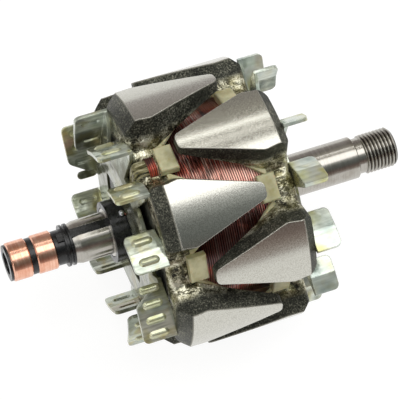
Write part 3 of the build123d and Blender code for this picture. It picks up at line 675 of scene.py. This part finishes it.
    pit_depth = add(tree, "ShaderNodeMath", {0: forged, 1: FORGING_DEPTH}, operation="MULTIPLY")
    lump_depth = add(tree, "ShaderNodeMath", {0: lumps, 1: LUMP_DEPTH}, operation="MULTIPLY")
    skin_depth = add(tree, "ShaderNodeMix", {"Factor": in_valley, 2: pit_depth, 3: lump_depth})
    grain_depth = add(tree, "ShaderNodeMath", {
        0: grain, 1: TURNED_GRAIN_DEPTH,
    }, operation="MULTIPLY")
    mark_depth = add(tree, "ShaderNodeMath", {
        0: marks, 1: TURNING_DEPTH, 2: grain_depth,
    }, operation="MULTIPLY_ADD")
    depth = add(tree, "ShaderNodeMix", {"Factor": turned, 2: skin_depth, 3: mark_depth})
    edge = add(tree, "ShaderNodeBevel", {"Radius": FORGING_ROUND}, samples=4)
    bump = add(tree, "ShaderNodeBump", {"Height": depth, "Distance": MM, "Normal": edge})
    metal = add(tree, "ShaderNodeMapRange", {"Value": turned, "To Min": 0.7, "To Max": 1.0})
    shader = add(tree, "ShaderNodeBsdfPrincipled", {
        "Base Color": colour.outputs[2], "Metallic": metal, "Roughness": rough, "Normal": bump,
        "Anisotropic": STREAK, "Anisotropic Rotation": STREAK_TURN,
        "Tangent": add(tree, "ShaderNodeTangent", direction_type="RADIAL", axis="X"),
    })
    add(tree, "ShaderNodeOutputMaterial", {"Surface": shader})
    return material


pole_steel = forged_low_carbon_steel()
dress(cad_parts["rear_claw_pole"], pole_steel)
dress(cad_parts["front_claw_pole"], pole_steel)


# Fans: blanked from mild steel sheet and folded, then zinc plated, passivated and
# spot welded to the poles. Beads pressed out of the rear fan's blades stiffen them.
ZINC_STOPS = [
    (0.3, "#a8b4a6"), (0.42, "#c8d0c2"), (0.54, "#d9dfd0"), (0.64, "#c8c896"), (0.76, "#c3a88c"),
]
YELLOWED_STOPS = [
    (0.3, "#aebbb4"), (0.44, "#dae2d8"), (0.54, "#dee2d0"), (0.64, "#cfcd90"), (0.78, "#d2caa4"),
]
BEAD_STOPS = [(0.3, "#a3ab84"), (0.45, "#c3c6a0"), (0.58, "#cfd0b4"), (0.72, "#bdb27c")]
TINT_SIZE = 10 * MM
PLATING_GRAIN = 0.8 * MM        # drawn coarser: zinc crystals are about 0.02 mm
SHEET_WAVE = 5 * MM
SHEET_WAVE_DEPTH = 0.25 * MM
SHEET_ROUND = 0.6 * MM
DRAWN_DARK = "#6a7066"
DRAWN_PER_RADIAN = 60           # drawn coarser: rolling marks are under 0.1 mm apart
DRAWN_ALONG = 90                # streaks a metre along the axis, and outwards from it,
DRAWN_OUTWARDS = 60             # which is the way that they run
YELLOW_FILM = "#b9a95a"
FILM_SIZE = 6 * MM
HUB_STAIN = "#5e5f47"
HUB_STAIN_EDGE = 44 * MM
HUB_STAIN_FADE = 7 * MM
HUB_STAIN_THIN = 0.45           # how much of the stain is left where it is thinnest
HALF_TURNS = (0, 180)           # both fans look the same after half a turn
REAR_BLADES = (                 # angle, inset from the poles, lean, length: degrees and mm
    (39.4, 13.3, 46.4, 20.4), (73.8, 12.6, 61.3, 19.7), (102.8, 10.8, 42.8, 13.0),
    (134.0, 11.4, 52.7, 15.6), (174.3, 13.3, 52.7, 24.4),
)
BLADE_KNEE = 0.9                # lengths from here to BEAD_TIP are in millimetres
SHEET = 1.5
BEAD_STATION = -78.5
BEAD_SPACING = 5.5
BEAD_LENGTH = 8.2
BEAD_WIDTH = 3.3
BEAD_HEIGHT = 0.9
BEAD_TIP = 0.02
BEAD_RINGS = 6
BEAD_END_STEPS = 6


def passivated_zinc(name, tint_stops, drawn_share, film_share, hub_share):
    """Zinc plate: a soft mirror, streaked outwards, with thin coloured films on it."""
    material, tree, place = bare_material(name)
    tints = add(tree, "ShaderNodeTexNoise", {
        "Vector": place, "Scale": 1 / TINT_SIZE, "Detail": 2.0,
    })
    tinted = add(tree, "ShaderNodeValToRGB", {0: tints}, stops=tint_stops)

    axes = add(tree, "ShaderNodeSeparateXYZ", {0: place}).outputs
    angle = add(tree, "ShaderNodeMath", {0: axes[2], 1: axes[1]}, operation="ARCTAN2")
    outwards = add(tree, "ShaderNodeVectorMath", {0: place}, operation="LENGTH").outputs["Value"]
    drawn_place = add(tree, "ShaderNodeCombineXYZ", {
        0: add(tree, "ShaderNodeMath", {0: axes[0], 1: DRAWN_ALONG}, operation="MULTIPLY"),
        1: add(tree, "ShaderNodeMath", {0: angle, 1: DRAWN_PER_RADIAN}, operation="MULTIPLY"),
        2: add(tree, "ShaderNodeMath", {0: outwards, 1: DRAWN_OUTWARDS}, operation="MULTIPLY"),
    })
    drawn = add(tree, "ShaderNodeTexNoise", {"Vector": drawn_place, "Scale": 1.0, "Detail": 2.0})
    streak = add(tree, "ShaderNodeMapRange", {
        "Value": drawn, "From Min": 0.4, "From Max": 0.7, "To Max": drawn_share,
    })
    streaked = add(tree, "ShaderNodeMix", {
        "Factor": streak, 6: tinted, 7: linear(DRAWN_DARK),
    }, data_type="RGBA")

    stains = add(tree, "ShaderNodeTexNoise", {
        "Vector": place, "Scale": 1 / FILM_SIZE, "Detail": 3.0,
    })
    film = add(tree, "ShaderNodeMapRange", {
        "Value": stains, "From Min": 0.55, "From Max": 0.68, "To Max": film_share,
    })
    filmed = add(tree, "ShaderNodeMix", {
        "Factor": film, 6: streaked.outputs[2], 7: linear(YELLOW_FILM),
    }, data_type="RGBA")
    near_hub = add(tree, "ShaderNodeMapRange", {
        "Value": distance_from_axis(tree, place), "From Min": HUB_STAIN_EDGE,
        "From Max": HUB_STAIN_EDGE - HUB_STAIN_FADE,
    })
    hub_cloud = add(tree, "ShaderNodeMapRange", {
        "Value": stains, "From Min": 0.35, "From Max": 0.6,
        "To Min": HUB_STAIN_THIN * hub_share, "To Max": hub_share,
    })
    hub_film = add(tree, "ShaderNodeMath", {0: near_hub, 1: hub_cloud}, operation="MULTIPLY")
    colour = add(tree, "ShaderNodeMix", {
        "Factor": hub_film, 6: filmed.outputs[2], 7: linear(HUB_STAIN),
    }, data_type="RGBA")

    grain = add(tree, "ShaderNodeTexNoise", {
        "Vector": place, "Scale": 1 / PLATING_GRAIN, "Detail": 2.0,
    })
    rough = add(tree, "ShaderNodeMapRange", {
        "Value": grain, "From Min": 0.3, "From Max": 0.7, "To Min": 0.12, "To Max": 0.18,
    })
    waves = add(tree, "ShaderNodeTexNoise", {
        "Vector": place, "Scale": 1 / SHEET_WAVE, "Detail": 1.0,
    })
    edge = add(tree, "ShaderNodeBevel", {"Radius": SHEET_ROUND}, samples=4)
    bump = add(tree, "ShaderNodeBump", {
        "Height": waves, "Distance": SHEET_WAVE_DEPTH, "Normal": edge,
    })
    shader = add(tree, "ShaderNodeBsdfPrincipled", {
        "Base Color": colour.outputs[2], "Metallic": 0.62, "Roughness": rough, "Normal": bump,
    })
    add(tree, "ShaderNodeOutputMaterial", {"Surface": shader})
    return material


def blade_facets():
    """The two facets of every rear blade, each from its start to its end."""
    facets = []
    for half_turn in HALF_TURNS:
        for angle, inset, lean, length in REAR_BLADES:
            at = math.radians(angle + half_turn)
            heading = math.radians(angle + half_turn + lean)
            reach = POLE_RADIUS / MM - inset
            along = Vector((0, math.cos(heading), math.sin(heading)))
            outside = Vector((0, math.sin(heading), -math.cos(heading)))
            middle = Vector((0, reach * math.cos(at), reach * math.sin(at)))
            inner = middle - along * length / 2
            knee = middle + outside * BLADE_KNEE
            outer = middle + along * length / 2
            facets += [(inner, knee), (knee, outer)]
    return facets


def press_bead(made, foot, across, out):
    """A long dome with round ends, pressed out of the sheet at its foot."""
    straight = (BEAD_LENGTH - BEAD_WIDTH) / 2
    rings = []
    for step in range(BEAD_RINGS + 1):
        share = 1 - step / BEAD_RINGS
        width = max(BEAD_TIP, share * BEAD_WIDTH / 2)
        rise = BEAD_HEIGHT * math.cos(math.pi / 2 * share)
        ring = []
        for way in (1, -1):
            for corner in range(BEAD_END_STEPS + 1):
                swing = math.pi * (corner / BEAD_END_STEPS - 0.5)
                x = way * (straight + width * math.cos(swing))
                side = way * width * math.sin(swing)
                point = foot + Vector((x, 0, 0)) + across * side + out * rise
                ring.append(made.verts.new(point * MM))
        rings.append(ring)
    skin(made, rings)
    made.faces.new(rings[-1])


def bead_mesh():
    """An even row of beads across each facet of the rear blades."""
    made = bmesh.new()
    for start, end in blade_facets():
        facet = end - start
        across = facet.normalized()
        out = Vector((0, across.z, -across.y))
        count = max(1, int(facet.length / BEAD_SPACING))
        for index in range(count):
            foot = start + facet * ((index + 0.5) / count) + out * SHEET
            foot.x = BEAD_STATION
            press_bead(made, foot, across, out)
    bmesh.ops.recalc_face_normals(made, faces=made.faces)
    return finished_mesh(made, "rear_fan_beads")


zinc = passivated_zinc(
    "passivated_zinc", ZINC_STOPS, drawn_share=0.5, film_share=0.5, hub_share=0.95,
)
yellowed_zinc = passivated_zinc(
    "yellowed_passivated_zinc", YELLOWED_STOPS, drawn_share=0.3, film_share=0.2, hub_share=0.15,
)
pressed_zinc = passivated_zinc(
    "pressed_passivated_zinc", BEAD_STOPS, drawn_share=0.15, film_share=0.5, hub_share=0.0,
)
new_piece("rear_fan_beads", bead_mesh(), pressed_zinc)
dress(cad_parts["rear_fan"], zinc)
dress(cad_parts["front_fan"], yellowed_zinc)


# Drive-end spacer: a plain ring turned from the shaft's steel, slid on against the
# front fan. It holds the drive-end bearing off the fan.
dress(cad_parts["drive_end_spacer"], shaft_steel)


# Slip-ring carrier: moulded in black glass-filled polyamide round the thin end of the
# shaft. Two ridges keep brush dust out, and bars in the shaft's slots hold the strips.
CARRIER_BLACK = "#0d0e10"
CARRIER_DUST = "#1f2021"
DUST_SIZE = 2.5 * MM
FIBRE_GRAIN = 0.5 * MM          # drawn coarser: the fibres are about 0.1 mm long
FIBRE_DEPTH = 0.03 * MM
CARRIER_ROUND = 0.3 * MM


def glass_filled_polyamide():
    """Black moulding: almost no colour, a soft gloss and a faint grain of fibres."""
    material, tree, place = bare_material("glass_filled_polyamide")
    dust = add(tree, "ShaderNodeTexNoise", {
        "Vector": place, "Scale": 1 / DUST_SIZE, "Detail": 5.0,
    })
    dusty = add(tree, "ShaderNodeMapRange", {"Value": dust, "From Min": 0.42, "From Max": 0.68})
    colour = add(tree, "ShaderNodeMix", {
        "Factor": dusty, 6: linear(CARRIER_BLACK), 7: linear(CARRIER_DUST),
    }, data_type="RGBA")
    rough = add(tree, "ShaderNodeMapRange", {"Value": dusty, "To Min": 0.2, "To Max": 0.38})
    grain = add(tree, "ShaderNodeTexNoise", {"Vector": place, "Scale": 1 / FIBRE_GRAIN})
    edge = add(tree, "ShaderNodeBevel", {"Radius": CARRIER_ROUND}, samples=4)
    bump = add(tree, "ShaderNodeBump", {"Height": grain, "Distance": FIBRE_DEPTH, "Normal": edge})
    shader = add(tree, "ShaderNodeBsdfPrincipled", {
        "Base Color": colour.outputs[2], "Roughness": rough, "IOR": 1.53, "Normal": bump,
    })
    add(tree, "ShaderNodeOutputMaterial", {"Surface": shader})
    return material


dress(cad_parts["slip_ring_carrier"], glass_filled_polyamide())


# Slip rings: seamless tube of electrolytic copper moulded into the carrier, then
# turned true with it and polished by the brushes. The strips from them are copper too.
COPPER_DEEP = "#dc9272"
COPPER_LIGHT = "#f9cdb6"
BRUSH_LINE = 0.5 * MM           # drawn coarser: brush marks are under 0.05 mm apart
BRUSH_STRETCH = (1, 0.03, 0.03)
BRUSH_DEPTH = 0.001 * MM
TARNISH_SIZE = 3 * MM
COPPER_ROUND = 0.25 * MM


def polished_copper():
    """Run-in copper: a warm mirror with fine lines where the brushes ran."""
    material, tree, place = bare_material("polished_copper")
    round_the_axis = add(tree, "ShaderNodeMapping", {"Vector": place, "Scale": BRUSH_STRETCH})
    lines = add(tree, "ShaderNodeTexNoise", {
        "Vector": round_the_axis, "Scale": 1 / BRUSH_LINE, "Detail": 2.0,
    })
    tarnish = add(tree, "ShaderNodeTexNoise", {
        "Vector": place, "Scale": 1 / TARNISH_SIZE, "Detail": 4.0,
    })
    both = add(tree, "ShaderNodeMath", {0: lines, 1: tarnish}, operation="ADD")
    share = add(tree, "ShaderNodeMapRange", {"Value": both, "From Min": 0.55, "From Max": 1.4})
    colour = add(tree, "ShaderNodeMix", {
        "Factor": share, 6: linear(COPPER_DEEP), 7: linear(COPPER_LIGHT),
    }, data_type="RGBA")
    rough = add(tree, "ShaderNodeMapRange", {
        "Value": tarnish, "From Min": 0.3, "From Max": 0.7, "To Min": 0.13, "To Max": 0.24,
    })
    edge = add(tree, "ShaderNodeBevel", {"Radius": COPPER_ROUND}, samples=4)
    bump = add(tree, "ShaderNodeBump", {"Height": lines, "Distance": BRUSH_DEPTH, "Normal": edge})
    shader = add(tree, "ShaderNodeBsdfPrincipled", {
        "Base Color": colour.outputs[2], "Metallic": 1.0, "Roughness": rough, "Normal": bump,
    })
    add(tree, "ShaderNodeOutputMaterial", {"Surface": shader})
    return material


copper = polished_copper()
for name in ("outer_slip_ring", "inner_slip_ring"):
    dress(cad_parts[name], copper)
for name in ("outer_ring_conductor", "inner_ring_conductor"):
    dress(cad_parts[name], copper)


# Leads: the two ends of the winding, sleeved in varnished glass fibre from the
# bobbin to the carrier and soldered to the strips there. A few turns of wire bind
# them down beside the block, and two strands of lacing cord run along with them.
SLEEVE_STOPS = [(0.3, "#3d3823"), (0.46, "#77704c"), (0.6, "#a9a37c"), (0.72, "#cdc9a8")]
YARN_WIDTH = 0.5 * MM           # drawn coarser: a yarn is about 0.3 mm wide
YARN_STRETCH = (0.12, 1, 0.5)
YARN_DEPTH = 0.12 * MM
BINDING_TURNS = 5
BINDING_FIRST = -64.2 * MM
BINDING_PITCH = 0.74 * MM
BINDING_RADIUS = 0.36 * MM
BINDING_OUTLINE = [             # each turn's y and z over the sleeves, in millimetres
    (-4.2, 39.8), (-3.6, 41.1), (-2.2, 42.5), (0.0, 42.75), (2.2, 42.5), (3.4, 41.1), (3.7, 39.8),
]
LACING_RADIUS = 0.45 * MM
LACING_SIDES = (3.0, -3.1)
LACING_ROUTE = [                # each cord's x and z, in millimetres
    (-63.7, 40.5), (-66.5, 40.55), (-69.5, 40.5), (-71.3, 40.1), (-72.3, 38.6), (-72.6, 35.5),
    (-72.6, 31.5),
]


def varnished_glass_sleeve():
    """Glass-fibre sleeve: pale fibres drawn along it, sunk in glossy brown varnish."""
    material, tree, place = bare_material("varnished_glass_sleeve")
    drawn = add(tree, "ShaderNodeMapping", {"Vector": place, "Scale": YARN_STRETCH})
    fibres = add(tree, "ShaderNodeTexNoise", {
        "Vector": drawn, "Scale": 1 / YARN_WIDTH, "Detail": 3.0,
    })
    colour = add(tree, "ShaderNodeValToRGB", {0: fibres}, stops=SLEEVE_STOPS)
    bump = add(tree, "ShaderNodeBump", {"Height": fibres, "Distance": YARN_DEPTH})
    shader = add(tree, "ShaderNodeBsdfPrincipled", {
        "Base Color": colour, "Roughness": 0.3, "Normal": bump,
    })
    add(tree, "ShaderNodeOutputMaterial", {"Surface": shader})
    return material


def smooth_line(points, steps=8):
    """A smooth line through the points, which meets every one of them."""
    line = []
    for index in range(len(points) - 1):
        before = points[max(0, index - 1)]
        here, there = points[index], points[index + 1]
        after = points[min(len(points) - 1, index + 2)]
        for step in range(steps):
            share = step / steps
            line.append(0.5 * (
                2 * here + (there - before) * share
                + (2 * before - 5 * here + 4 * there - after) * share ** 2
                + (3 * here - before - 3 * there + after) * share ** 3
            ))
    return line + [points[-1]]


sleeve = varnished_glass_sleeve()
for name in ("start_lead_sleeve", "end_lead_sleeve"):
    dress(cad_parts[name], sleeve)
for name in ("start_lead", "end_lead"):
    dress(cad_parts[name], wire)
for index in range(BINDING_TURNS):
    station = BINDING_FIRST - BINDING_PITCH * index
    lean = BINDING_PITCH / len(BINDING_OUTLINE)
    turn = []
    for at, (y, z) in enumerate(BINDING_OUTLINE):
        turn.append(Vector((station - lean * at, y * MM, z * MM)))
    name = "lead_binding_%d" % (index + 1)
    new_piece(name, wire_mesh(name, smooth_line(turn), BINDING_RADIUS), wire)
for index, side in enumerate(LACING_SIDES):
    cord = [Vector((x * MM, side * MM, z * MM)) for x, z in LACING_ROUTE]
    name = "lacing_strand_%d" % (index + 1)
    new_piece(name, wire_mesh(name, smooth_line(cord), LACING_RADIUS), sleeve)


# Solder joints: beads of tin solder that froze where the leads meet the strips, one
# on each side of the carrier's hub.
SOLDER_DARK = "#8d9092"
SOLDER_LIGHT = "#cfd1d3"
RIPPLE_SIZE = 1 * MM
RIPPLE_DEPTH = 0.1 * MM


def tin_solder():
    """Frozen solder: a bright, slightly rippled skin."""
    material, tree, place = bare_material("tin_solder")
    ripple = add(tree, "ShaderNodeTexNoise", {
        "Vector": place, "Scale": 1 / RIPPLE_SIZE, "Detail": 2.0,
    })
    colour = add(tree, "ShaderNodeMix", {
        "Factor": ripple, 6: linear(SOLDER_DARK), 7: linear(SOLDER_LIGHT),
    }, data_type="RGBA")
    bump = add(tree, "ShaderNodeBump", {"Height": ripple, "Distance": RIPPLE_DEPTH})
    shader = add(tree, "ShaderNodeBsdfPrincipled", {
        "Base Color": colour.outputs[2], "Metallic": 1.0, "Roughness": 0.22, "Normal": bump,
    })
    add(tree, "ShaderNodeOutputMaterial", {"Surface": shader})
    return material


solder = tin_solder()
for name in ("start_solder_joint", "end_solder_joint"):
    dress(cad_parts[name], solder)


# Studio: a white table, three long lights overhead and a soft one at the side, in a
# pale room with darker walls, so that round steel faces show light and dark bands.
FLOOR_GAP = 0.2 * MM
FLOOR_HALF = 4.0
FLOOR_WHITE = "#f4f4f2"
FLOOR_GLOW = 1.12               # with the shadowed share it adds up to white
SHADOW_SHARE = 0.2
ROOM_STOPS = [                  # round the rotor, from the +Y side over the top to -Y
    (0.0, "#bebaba"), (0.08, "#aca6a5"), (0.17, "#96928f"), (0.26, "#aaa69e"), (0.31, "#bab7ae"),
    (0.33, "#e4e2da"), (0.35, "#f6f5ee"), (0.365, "#bdbab1"), (0.39, "#dedcd5"), (0.41, "#b3b0a8"),
    (0.45, "#cfcdc7"), (0.48, "#f6f6f4"), (0.625, "#f4f4f4"), (0.67, "#b4b8b6"), (0.72, "#7d817f"),
    (0.79, "#6f7472"), (0.85, "#6c6864"), (0.89, "#7c6d69"), (0.94, "#93857f"), (1.0, "#c4bdb9"),
]
LIGHTS = (                      # name, place and size in metres, power in watts
    ("overhead_light", (0.2, -0.14, 1.29), (2.0, 0.75), 7.2),
    ("narrow_light", (0.2, 0.60, 1.15), (2.0, 0.05), 0.9),
    ("thin_light", (0.2, 0.42, 1.22), (2.0, 0.03), 0.4),
    ("side_light", (-0.9, -0.7, 0.6), (0.5, 0.5), 1.5),
)


def white_card():
    """Matt white card: it takes the rotor's shadow, and is plain white behind it."""
    material, tree, _ = bare_material("white_card")
    path = add(tree, "ShaderNodeLightPath").outputs
    seen = add(tree, "ShaderNodeMath", {
        0: path["Is Camera Ray"], 1: path["Is Glossy Ray"],
    }, operation="ADD")
    seen = add(tree, "ShaderNodeMath", {
        0: seen, 1: path["Is Transmission Ray"],
    }, operation="ADD", use_clamp=True)
    glowing = add(tree, "ShaderNodeMath", {0: seen, 1: 1 - SHADOW_SHARE}, operation="MULTIPLY")
    card = add(tree, "ShaderNodeBsdfDiffuse", {"Color": linear(FLOOR_WHITE)})
    white = add(tree, "ShaderNodeEmission", {"Strength": FLOOR_GLOW})
    surface = add(tree, "ShaderNodeMixShader", {0: glowing, 1: card, 2: white})
    add(tree, "ShaderNodeOutputMaterial", {"Surface": surface})
    return material


floor_level = cad_box[0][2] - FLOOR_GAP
floor_mesh = bpy.data.meshes.new("studio_floor")
floor_mesh.from_pydata([
    (-FLOOR_HALF, -FLOOR_HALF, floor_level), (FLOOR_HALF, -FLOOR_HALF, floor_level),
    (FLOOR_HALF, FLOOR_HALF, floor_level), (-FLOOR_HALF, FLOOR_HALF, floor_level),
], [], [(0, 1, 2, 3)])
floor_mesh.materials.append(white_card())
floor = bpy.data.objects.new("studio_floor", floor_mesh)
bpy.context.scene.collection.objects.link(floor)

world = bpy.data.worlds.new("studio_room")
world.use_nodes = True
bpy.context.scene.world = world
tree = world.node_tree
tree.nodes.clear()
direction = add(tree, "ShaderNodeTexCoord").outputs["Generated"]
axes = add(tree, "ShaderNodeSeparateXYZ", {0: direction}).outputs
angle = add(tree, "ShaderNodeMath", {0: axes[2], 1: axes[1]}, operation="ARCTAN2")
over_the_top = add(tree, "ShaderNodeMapRange", {"Value": angle, "From Max": math.pi})
room = add(tree, "ShaderNodeValToRGB", {0: over_the_top}, stops=ROOM_STOPS)
background = add(tree, "ShaderNodeBackground", {"Color": room, "Strength": 1.0})
add(tree, "ShaderNodeOutputWorld", {"Surface": background})

for name, place, size, power in LIGHTS:
    lamp = bpy.data.lights.new(name, "AREA")
    lamp.shape = "RECTANGLE"
    lamp.size, lamp.size_y = size
    lamp.energy = power
    light = bpy.data.objects.new(name, lamp)
    back = (Vector(place) - VIEW_AIM).normalized()
    across = Vector((0, 1, 0)).cross(back).normalized()
    facing = Matrix((across, back.cross(across), back)).transposed().to_4x4()
    light.matrix_world = Matrix.Translation(Vector(place)) @ facing
    bpy.context.scene.collection.objects.link(light)
